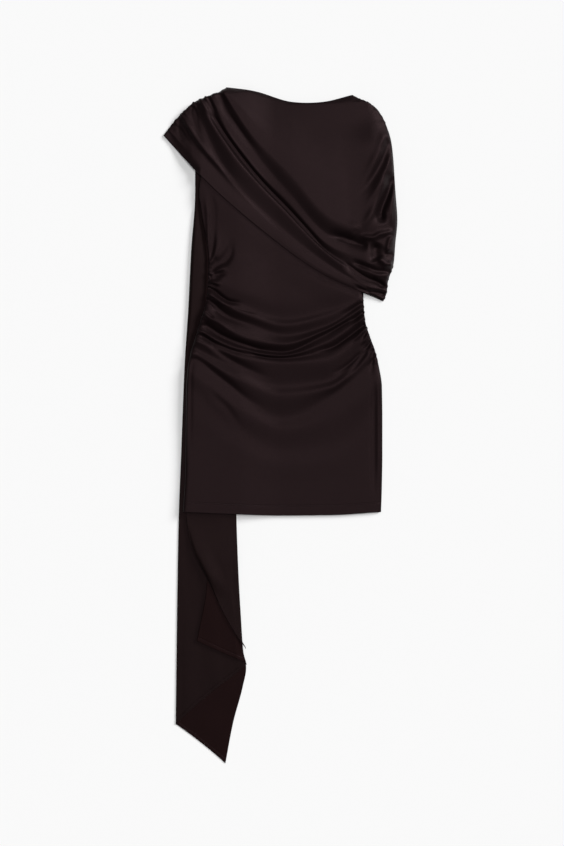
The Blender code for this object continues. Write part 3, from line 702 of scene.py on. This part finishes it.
drape_u = crowded(220, 0.35)
drape_v = np.linspace(0, len(DRAPE_LINES) - 1, 210)
dx, dy, d_folds = drape_grid(drape_u, drape_v)
d_top = drape_top(dx, dy, d_folds)
dx, dy = swell_out(dx, dy, 0, run_along(dx[:, 0], dy[:, 0]), left_shoulder, 0.7)
dx, dy = swell_out(dx, dy, -1, run_along(dx[:, -1], dy[:, -1]), right_side, 0.8)
front_overlay = panel("front_overlay", dx, dy, d_top, [drape_jersey])
print("right side length mm", round(float(run_along(dx[:, -1], dy[:, -1])[-1, 0])))

# %% [markdown]
# The sheath's front: the ruched rows, the creases that fan out of the upper left gathers, the
# soft folds under the arm, and puckers all along both gathered side seams.

# %% Sheath folds
SHEATH_FOLDS = {
    "arm fold": ([(-150, 466), (-145, 420), (-143, 362), (-142, 330)], 4, 4, 2.2, 0.3, 0.1),
    "arm hollow": (
        [(-139, 474), (-135, 430), (-136, 385), (-137, 350), (-140, 326)], 5, 5, -3.6, 0.3, 0.05),
    "second arm fold": ([(-124, 400), (-127, 362), (-134, 340), (-140, 326)], 5, 4, 2.4, 0.5, 0.05),
    "short crease": ([(-127, 339), (-132, 329), (-138, 321)], 2.4, 2.4, -3.0, 0.3, 0.1),
    "first fan trough": (
        [(-94, 384), (-101, 348), (-112, 331), (-128, 320), (-141, 307)], 7, 8, -8.0, 0.5, 0.05),
    "first fan ridge": ([(-106, 320), (-125, 312), (-142, 303)], 4, 4, 2.4, 0.3, 0.05),
    "second fan trough": ([(-104, 311), (-120, 304), (-131, 302), (-143, 299)], 5, 5, -5.4, 0.4, 0.05),
    "third fan trough": ([(-114, 297), (-135, 293), (-144, 292)], 4, 4, -4.8, 0.4, 0.05),
    "third fan ridge": ([(-118, 283), (-132, 286), (-144, 290)], 3, 3, 2.0, 0.4, 0.05),
    "fourth fan trough": ([(-120, 276), (-137, 283), (-145, 287)], 4, 4, -4.4, 0.4, 0.05),
    "first crease": (
        [(-145, 278), (-134, 272), (-122, 261), (-100, 248), (-72, 245)], 4, 4, -5.6, 0.05, 0.35),
    "first crest": ([(-144, 264), (-130, 256), (-112, 244), (-86, 237)], 5, 4, 2.4, 0.1, 0.5),
    "thin crease": ([(-98, 241), (-78, 233), (-58, 228), (-30, 226)], 3, 3, -1.2, 0.4, 0.5),
    "second trough": (
        [(-148, 258), (-136, 247), (-124, 231), (-104, 217), (-70, 204), (-30, 193)],
        8, 7, -5.4, 0.1, 0.5),
    "ridge in the second": ([(-147, 251), (-138, 240), (-128, 229)], 2.2, 2.2, 2.0, 0.1, 0.3),
    "second crest": ([(-155, 230), (-143, 217), (-122, 207), (-98, 191), (-62, 178)], 6, 5, 2.4, 0.1, 0.4),
    "small crease": ([(-150, 229), (-141, 222), (-133, 215)], 2.4, 2.4, -3.0, 0.1, 0.3),
    "third trough": (
        [(-155, 207), (-140, 195), (-118, 180), (-88, 168), (-40, 153), (20, 149)],
        8, 5, -5.2, 0.08, 0.35),
    "right part of the third": (
        [(171, 204), (155, 193), (130, 174), (100, 156), (60, 149)], 4, 6, -4.6, 0.05, 0.4),
    "low crest": (
        [(-160, 192), (-146, 182), (-128, 170), (-100, 157), (-50, 144), (0, 141)],
        3, 3, 1.6, 0.1, 0.3),
    "thin low crease": (
        [(-90, 154), (-60, 146), (-40, 139), (-10, 135.5), (40, 138)], 2.4, 2.6, -1.6, 0.3, 0.4),
    "fourth trough": (
        [(-162, 187), (-145, 172), (-126, 152), (-95, 131), (-50, 108), (-5, 91)],
        7, 6, -3.4, 0.1, 0.5),
    "fifth trough": (
        [(-178, 141), (-160, 131), (-130, 106), (-100, 82), (-65, 54), (-20, 30)],
        7, 6, -2.8, 0.15, 0.5),
    "sixth trough": ([(-157, 92), (-130, 60), (-106, 36), (-84, 6), (-60, -20)], 7, 9, -1.4, 0.4, 0.6),
    "hip hollow": ([(166, 250), (150, 238), (138, 230), (118, 220)], 5, 5, -2.4, 0.1, 0.5),
    "hip crease": ([(167, 229), (158, 222), (148, 214), (136, 208)], 4, 4, -4.0, 0.05, 0.4),
    "thin hip crease": ([(145, 215), (128, 205), (110, 194), (86, 180)], 3, 3, -1.8, 0.3, 0.5),
    "hip ridge": ([(170, 222), (158, 210), (140, 198)], 3, 3, 1.8, 0.05, 0.5),
    "bright hip ridge": ([(175, 200), (165, 190), (152, 177), (136, 168)], 4, 4, 3.0, 0.05, 0.5),
    "short hip crease": ([(175, 196), (170, 187), (164, 174)], 3, 3, -3.4, 0.1, 0.4),
    "lower hip ridge": ([(176, 184), (170, 172), (160, 163)], 3.5, 3.5, 2.6, 0.05, 0.5),
    "lower hip crease": ([(180, 171), (176, 161), (170, 152)], 3, 3, -3.4, 0.1, 0.4),
    "side hip trough": ([(186, 156), (184, 140), (183, 118), (184, 90)], 4, 4, -4.2, 0.1, 0.5),
    "soft hip trough": ([(174, 152), (160, 132), (146, 113), (130, 94)], 5, 5, -2.4, 0.1, 0.5),
    "long hip trough": ([(162, 149), (150, 135), (128, 117), (96, 102)], 4, 4, -2.0, 0.2, 0.5),
    "side hollow": ([(187, 104), (186, 20), (187, -90), (188, -160)], 6, 5, -1.9, 0.2, 0.4),
    "side rim": ([(194, 112), (197, 50), (197, -40), (196, -150)], 3.6, 4, 1.5, 0.2, 0.3),
    "left side groove": ([(-172, 142), (-179, 100), (-180, 20), (-181, -90)], 4, 5, -1.9, 0.2, 0.4),
    "left side rim": ([(-179, 138), (-184, 90), (-186, 10), (-187, -80)], 3, 3, 1.0, 0.2, 0.4),
}


def left_ruching(run, distance):
    """The gathers of the sheath's left side seam."""
    coarse = gathers(run, distance, 318, 500, 14, 9, 1.8, 3.4, 21)
    return coarse + gathers(run, distance, 326, 490, 15, 5, 1.2, 2.0, 22)


def right_ruching(run, distance):
    """The gathers of the sheath's right side seam."""
    coarse = gathers(run, distance, 386, 526, 10, 8, 1.6, 3.4, 23)
    return coarse + gathers(run, distance, 390, 520, 12, 5, 1.1, 2.0, 24)


def sheath_puckers(x, y):
    """Height of both gathered side seams of the sheath."""
    left = left_ruching(run_along(x[:, 0], y[:, 0]), np.abs(x - x[:, :1]))
    return left + right_ruching(run_along(x[:, -1], y[:, -1]), np.abs(x[:, -1:] - x))


# %% [markdown]
# A hem is a turned-up edge: two layers of cloth with a line of stitches that pulls a small groove
# at its top. One formula gives the extra layer and the groove from the distance to the edge, and
# the stitches are small lozenges of thread laid along a row of the same grid, so they sit in it.

# %% Hems and stitches
HEM_LAYER = 0.45
HEM_GROOVE = 0.6
STITCH_PITCH = 3.2
STITCH_SIZE = (1.25, 0.34, 0.3)


def hem_band(from_edge, depth):
    """An extra layer up to the stitch line, less a narrow bell-shaped groove on that line."""
    layer = 1 - soft_step((from_edge - depth) / 2)
    return HEM_LAYER * layer - HEM_GROOVE * np.exp(-(((from_edge - depth) / 1.3) ** 2))


def stitch_rows(name, rows, material):
    """One mesh of thread lozenges: a point every pitch along each row, four points round, two ends."""
    centres, headings = [], []
    for row in rows:
        steps = np.linalg.norm(np.diff(row, axis=0), axis=1)
        run = np.concatenate([[0], np.cumsum(steps)])
        at = np.arange(STITCH_PITCH, run[-1] - STITCH_PITCH, STITCH_PITCH)
        ahead = [np.interp(at + shift, run, row[:, k]) for shift in (-1, 1) for k in range(3)]
        behind, front = np.stack(ahead[:3], axis=1), np.stack(ahead[3:], axis=1)
        centres.append((behind + front) / 2)
        headings.append((front - behind) / np.linalg.norm(front - behind, axis=1, keepdims=True))
    centre, ahead = np.concatenate(centres), np.concatenate(headings)
    side = np.stack([-ahead[:, 1], ahead[:, 0], np.zeros(len(ahead))], axis=1)
    up = np.array([0.0, 0.0, 1.0])
    half, width, height = STITCH_SIZE
    around = [side * width, up * height + 0 * side, -side * width, -up * height + 0 * side]
    ends = [-ahead * half, ahead * half]
    points = np.stack([centre + part for part in around + ends], axis=1)
    tip_faces = [(4, 1, 0), (4, 2, 1), (4, 3, 2), (4, 0, 3)]
    pattern = np.array(tip_faces + [(5, a, b) for a, b in ((0, 1), (1, 2), (2, 3), (3, 0))])
    faces = pattern[None] + 6 * np.arange(len(centre))[:, None, None]
    mesh = bpy.data.meshes.new(name)
    mesh.from_pydata((points.reshape(-1, 3) * MM).tolist(), [], faces.reshape(-1, 3).tolist())
    mesh.materials.append(material)
    mesh.shade_smooth()
    piece = bpy.data.objects.new(name, mesh)
    bpy.context.scene.collection.objects.link(piece)
    print(name, "stitches", len(centre))
    return piece


print("groove depth at the stitch line:", hem_band(np.array([18.0]), 18.0).round(2))

# %% [markdown]
# The front of the sheath is one panel. Its grid follows the ruched lines, close together where
# the ruching is and wide apart on the plain skirt, with extra rows in the hem and extra stations
# near both side seams. Ruched cloth stands away from the body, so it has a fullness of its own.

# %% Front of the sheath
RUCHE_FULLNESS = 3.0
RUCHE_SPAN = (-40.0, 350.0)
RUCHE_LOW_FADE = 150.0
RUCHE_HIGH_FADE = 60.0
RUCHE_ROUNDING = 12.0
DRAPE_EDGE_CLEAR = 3.0
DRAPE_EDGE_FADE = 14.0
LEAST_GAP = 0.1
SHEATH_HEM = 19.0


def side_stations(count, near):
    """Even stations across a panel plus a few close to each side, where it rounds off."""
    inner = np.linspace(0, 1, count)
    edge = np.array(near)
    inner = inner[(inner > edge[-1]) & (inner < 1 - edge[-1])]
    return np.concatenate([[0], edge, inner, 1 - edge[::-1], [1]])


def ruche_fullness(x, y):
    """Height of the taken-up cloth: soft steps along the garment, a quarter round at its sides."""
    low, high = RUCHE_SPAN
    inwards = np.minimum(x - side_x(SHEATH_LEFT, y), side_x(SHEATH_RIGHT, y) - x)
    along = soft_step((y - low) / RUCHE_LOW_FADE) * soft_step((high - y) / RUCHE_HIGH_FADE)
    return RUCHE_FULLNESS * along * rounded((inwards + 1) / RUCHE_ROUNDING)


def sheath_top(x, y, folds):
    """Top of the sheath's front, with its folds smoothed away where the overlay covers it."""
    outside = -distance_inside(drape_outline(), x, y)
    clear = soft_step((outside - DRAPE_EDGE_CLEAR) / DRAPE_EDGE_FADE)
    relief = folds + ruche_fullness(x, y) + all_folds(SHEATH_FOLDS, x, y) + sheath_puckers(x, y)
    return under_front_body(x, y) + np.maximum(relief * clear, LEAST_GAP - sheath_loft(x, y)) + WALL


body_u = side_stations(118, [0.001, 0.0035, 0.007, 0.012, 0.018])
rows_hidden, rows_ruched = np.linspace(0, 3, 26)[:-1], np.linspace(3, 18, 216)[:-1]
rows_skirt, rows_hem = np.linspace(18, 21.3, 44)[:-1], np.linspace(21.3, 22, 34)
body_v = np.concatenate([rows_hidden, rows_ruched, rows_skirt, rows_hem])
bx, by, b_folds = sheath_grid(body_u, body_v)
hem_distance = by - by[-1:]
b_top = sheath_top(bx, by, b_folds) + hem_band(hem_distance, SHEATH_HEM)
bx, by = swell_out(bx, by, 0, run_along(bx[:, 0], by[:, 0]), left_ruching, 0.45)
bx, by = swell_out(bx, by, -1, run_along(bx[:, -1], by[:, -1]), right_ruching, 0.5)
front_sheath = panel("front_sheath", bx, by, b_top, [body_jersey])

stitch_line = np.abs(hem_distance[:, 60] - SHEATH_HEM).argmin()
sheath_row = np.stack([bx[stitch_line], by[stitch_line], b_top[stitch_line] + 0.1], axis=1)
sheath_stitches = stitch_rows("sheath_stitches", [sheath_row[5:-5]], thread)

# %% [markdown]
# The two backs are hidden. They get the real outline and thickness, because they show from the
# side, at the hem and from below, and the same gathers as the fronts but shallower: there is
# about a millimetre of air over each, and the folds stay inside it.

# %% Backs
BACK_SHARE = 0.4
BACK_AIR = 0.85


def shallow(relief):
    """A share of the front's relief, between nothing and the air over the back."""
    return np.clip(BACK_SHARE * relief, 0.0, BACK_AIR)


plain_u, plain_v = crowded(90, 0.3), np.linspace(0, len(DRAPE_LINES) - 1, 90)
px, py, p_folds = drape_grid(plain_u, plain_v)
p_top = sash_lift(px, py) + shallow(0.2 * p_folds + drape_relief(px, py)) + CLOTH
back_overlay = panel("back_overlay", px, py, p_top, [drape_jersey])

back_u = side_stations(60, [0.002, 0.007, 0.014])
qx, qy, q_folds = sheath_grid(back_u, np.linspace(0, len(SHEATH_LINES) - 1, 130))
q_top = under_back_body(qx, qy) + shallow(q_folds + sheath_puckers(qx, qy)) + CLOTH
back_sheath = panel("back_sheath", qx, qy, q_top, [body_jersey])

# %% [markdown]
# The sash is one long panel folded back on itself like a letter. A cross section is a path that
# runs left, round the fold, right, round the next fold and left again; carried down the sash it
# makes all three plies at once. Its two faces get two materials, because the wrong side shows
# where the panel is turned up.

# %% Sash
SASH_TOP = 652
SASH_PLIES = {
    "lowest": ("right", "left", -676, -598),
    "middle": ("left", "right", -596, -478),
    "upper": ("right", "selvage", -472, -430),
}
FOLD_BEND = 0.9
OVERFOLD_END = (-428, -446)
OVERFOLD_RETURN = 9.0
OVERFOLD_DROOP = 1.5
TURNS = np.linspace(0, np.pi, 9)[1:-1]
PLY_PUFF = 3.2
ROLL_PUFF = 3.4
ROLL_FROM_Y = -345.0
STRIP_RISE = 6.4
STRIP_FALL = 24.0
PLY_STATIONS = 48
SASH_HEM = 8.0
rows_under, rows_shown = np.linspace(0, 0.6, 40)[:-1], np.linspace(0.6, 0.985, 128)[:-1]
sash_drop = np.concatenate([rows_under, rows_shown, np.linspace(0.985, 1, 24)])


def folded_shell(name, stations, materials, wrong_side):
    """Shell of even thickness about cross sections that lie in X-Z planes."""
    x, y, z = (np.array(part).T for part in zip(*stations))
    run, rise = np.gradient(x, axis=1), np.gradient(z, axis=1)
    length = np.hypot(run, rise)
    out_x, out_z = -rise / length * CLOTH / 2, run / length * CLOTH / 2
    side_a, side_b = (x + out_x, y, z + out_z), (x - out_x, y, z - out_z)
    return cloth_shell(name, side_a, side_b, materials, wrong_side)


def ply_puff(x, y):
    """Air under the upper ply: none below the dress and at the right fold, most at the free edges."""
    below_dress = soft_step((-186 - y) / 90)
    return PLY_PUFF * below_dress * soft_step((side_x(SASH_RIGHT, y) - x) / 16)


def strip_rise(x, y):
    """The strip beside the dress swells up from its outer fold and falls steeply to the dress."""
    from_fold = x - side_x(SASH_LEFT, y)
    to_dress = side_x(SHEATH_LEFT, y) - x
    beside = soft_step((525 - y) / 40) * soft_step((y - 10) / 80)
    fall = 1 - (1 - np.clip(to_dress / STRIP_FALL, 0, 1)) ** 2
    return STRIP_RISE * rounded(from_fold / 9) * fall * beside


def soft_wave(x, y):
    """Long shallow rolls that run down the sash: two slow sines that cross at a small angle."""
    shown = soft_step((-186 - y) / 60)
    inner = soft_step((x - side_x(SASH_LEFT, y)) / 22) * soft_step((side_x(SASH_RIGHT, y) - x) / 22)
    rolls = 0.55 * np.sin(x / 9.5 + y / 130) + 0.4 * np.sin(x / 15.5 - y / 90 + 1.0)
    return np.maximum(rolls, -0.35) * shown * inner


def sash_stations():
    """Stations of the three lower plies: even shares of each ply, then the bend to the next."""
    bend = FOLD_BEND + WALL / 2
    outlines = {"left": SASH_LEFT, "right": SASH_RIGHT, "selvage": SASH_SELVAGE}
    inset = {"left": bend, "right": -bend, "selvage": 0.0}
    level = CLOTH / 2
    stations = []
    for start, end, low_start, low_end in SASH_PLIES.values():
        for share in crowded(PLY_STATIONS, 0.4):
            y = SASH_TOP + (low_start + (low_end - low_start) * share - SASH_TOP) * sash_drop
            from_x = side_x(outlines[start], y) + inset[start]
            to_x = side_x(outlines[end], y) + inset[end]
            x = from_x + (to_x - from_x) * share
            air = ply_puff(x, y) if end == "selvage" else 0 * y
            wave = 0 * y if end == "left" else soft_wave(x, y)
            wave = wave + strip_rise(x, y) if end == "right" else wave
            hem = hem_band(y - y[-1], SASH_HEM)
            stations.append((x, y, np.maximum(level + air + wave + hem, CLOTH / 2)))
        if end == "selvage":
            break
        outward = -FOLD_BEND if end == "left" else FOLD_BEND
        for turn in TURNS:
            height = level + FOLD_BEND * (1 - np.cos(turn))
            stations.append((to_x + outward * np.sin(turn), y, np.full_like(y, height)))
        level += 2 * FOLD_BEND
    return stations


def overfold_stations():
    """Stations of the top stretch: a short turn-under, the soft fold, then the ply to the right."""
    bend = FOLD_BEND + WALL / 2
    level = WALL / 2 + 2 * FOLD_BEND * len(SASH_PLIES)
    y = SASH_TOP + (OVERFOLD_END[0] - SASH_TOP) * sash_drop
    fold_x = side_x(ROLLED_FOLD, y) + bend
    back = np.minimum(OVERFOLD_RETURN, 0.6 * (side_x(SASH_RIGHT, y) - fold_x))
    puff = ply_puff(fold_x, y)
    stations = [(fold_x + back * s, y, level + puff) for s in (1, 0.66, 0.33, 0)]
    for turn in TURNS:
        height = level + puff + FOLD_BEND * (1 - np.cos(turn))
        stations.append((fold_x - FOLD_BEND * np.sin(turn), y, height))
    level += 2 * FOLD_BEND
    for share in crowded(34, 0.5):
        end = OVERFOLD_END[0] + (OVERFOLD_END[1] - OVERFOLD_END[0]) * share
        y = SASH_TOP + (end - SASH_TOP) * sash_drop
        fold_x = side_x(ROLLED_FOLD, y) + bend
        edge = np.maximum(side_x(SASH_RIGHT, y) - 1, fold_x + 3)
        x = fold_x + (edge - fold_x) * share
        shown = soft_step((-186 - y) / 60)
        shown_roll = shown * soft_step((y - ROLL_FROM_Y) / 50)
        rolled = rounded((x - fold_x) / 9) * (1 - soft_step((x - fold_x - 8) / 30))
        roll = ROLL_PUFF * rolled * shown_roll
        droop = OVERFOLD_DROOP * soft_step((share - 0.6) / 0.4)
        hem = hem_band(y - y[-1], SASH_HEM) * soft_step((share - 0.1) / 0.1)
        stations.append((x, y, level + ply_puff(x, y) + roll + soft_wave(x, y) - droop + hem))
    return stations


def hem_row(stations, first, last):
    """The row of points over the stitch line of one ply, on top of the cloth."""
    x, y, z = (np.array(part).T for part in zip(*stations[first:last]))
    row = np.abs(y[:, 0] - y[-1, 0] - SASH_HEM).argmin()
    return np.stack([x[row], y[row], z[row] + CLOTH / 2 + 0.1], axis=1)


end_stations, roll_stations = sash_stations(), overfold_stations()
sash_end = folded_shell("sash_end", end_stations, [sash_jersey, wrong_jersey], True)
sash_roll = folded_shell("sash_roll", roll_stations, [sash_jersey], False)
lowest_ply, upper_ply = (1, PLY_STATIONS - 1), (1 - PLY_STATIONS, -1)
end_rows = [hem_row(end_stations, *ply) for ply in (lowest_ply, upper_ply)]
end_stitches = stitch_rows("sash_end_stitches", end_rows, thread)

# %% [markdown]
# Each piece rides on the one body and stands for its solid, which is hidden. The table also lists the
# size each was cut to; a gathered panel is cut longer than the length it fills.

# %% Ride and replace
PIECES = {
    front_overlay: {
        "node": "front_drape", "slot": "drape_cloth", "flat": (0.50, 0.46), "area": 0.145,
        "held": "gathered", "rests_on": ["front_body", "back_drape"], "with_pieces": []},
    front_sheath: {
        "node": "front_body", "slot": "body_cloth", "flat": (0.41, 0.92), "area": 0.32,
        "held": "gathered", "rests_on": ["back_body"], "with_pieces": [sheath_stitches]},
    back_overlay: {
        "node": "back_drape", "slot": "drape_cloth", "flat": (0.47, 0.43), "area": 0.126,
        "held": "laid", "rests_on": ["sash_tail"], "with_pieces": []},
    back_sheath: {
        "node": "back_body", "slot": "body_cloth", "flat": (0.40, 0.85), "area": 0.295,
        "held": "laid", "rests_on": ["sash_tail"], "with_pieces": []},
    sash_end: {
        "node": "sash_tail", "slot": "sash_cloth", "flat": (0.32, 1.33), "area": 0.315,
        "held": "folded", "rests_on": [], "with_pieces": [end_stitches]},
    sash_roll: {
        "node": "sash_overfold", "slot": "sash_cloth", "flat": (0.11, 1.10), "area": 0.077,
        "held": "folded", "rests_on": ["sash_tail"], "with_pieces": []},
}


def one_layer_area(piece):
    """Half the area of all faces, because a thin shell has the cloth's face and its back."""
    areas = np.empty(len(piece.data.polygons))
    piece.data.polygons.foreach_get("area", areas)
    return areas.sum() / 2


for piece, cut in PIECES.items():
    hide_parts(cut["node"])
    for part in [piece, *cut["with_pieces"]]:
        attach(part, "root")
    print(piece.name, "cloth in sq m", round(one_layer_area(piece), 4), "of a cut of", cut["area"])

# %% [markdown]
# A white floor and two soft lights. The photograph's shadows fall to the left and are faint, so
# the main light is broad and stands high at the upper right, and an even white world fills in.

# %% Floor and light
FLOOR_SIZE = 60.0
floor_mesh = bpy.data.meshes.new("floor")
corner = FLOOR_SIZE / 2
floor_mesh.from_pydata(
    [(-corner, -corner, 0), (corner, -corner, 0), (corner, corner, 0), (-corner, corner, 0)],
    [], [(0, 1, 2, 3)],
)
floor = bpy.data.objects.new("floor", floor_mesh)
bpy.context.scene.collection.objects.link(floor)
floor_paint = bpy.data.materials.new("floor_paint")
floor_paint.use_nodes = True
floor_paint.node_tree.nodes["Principled BSDF"].inputs["Base Color"].default_value = (0.9, 0.9, 0.9, 1)
floor_paint.node_tree.nodes["Principled BSDF"].inputs["Roughness"].default_value = 0.9
floor_mesh.materials.append(floor_paint)

FILL_STRENGTH = 0.12
LAMPS = {
    "overhead": {"strength": 1.66, "softness": 26, "elevation": 83, "azimuth": 60},
    "side": {"strength": 2.6, "softness": 24, "elevation": 30, "azimuth": 30},
}
for name, lamp in LAMPS.items():
    light = bpy.data.lights.new(name, "SUN")
    light.energy = lamp["strength"]
    light.angle = math.radians(lamp["softness"])
    stand = bpy.data.objects.new(name, light)
    stand.rotation_euler = (0, math.radians(90 - lamp["elevation"]), math.radians(lamp["azimuth"]))
    bpy.context.scene.collection.objects.link(stand)

world = bpy.data.worlds.new("studio")
bpy.context.scene.world = world
world.use_nodes = True
world.node_tree.nodes["Background"].inputs["Color"].default_value = (1, 1, 1, 1)
world.node_tree.nodes["Background"].inputs["Strength"].default_value = FILL_STRENGTH
bpy.context.scene.view_settings.view_transform = "Standard"
print("lamps:", list(LAMPS))
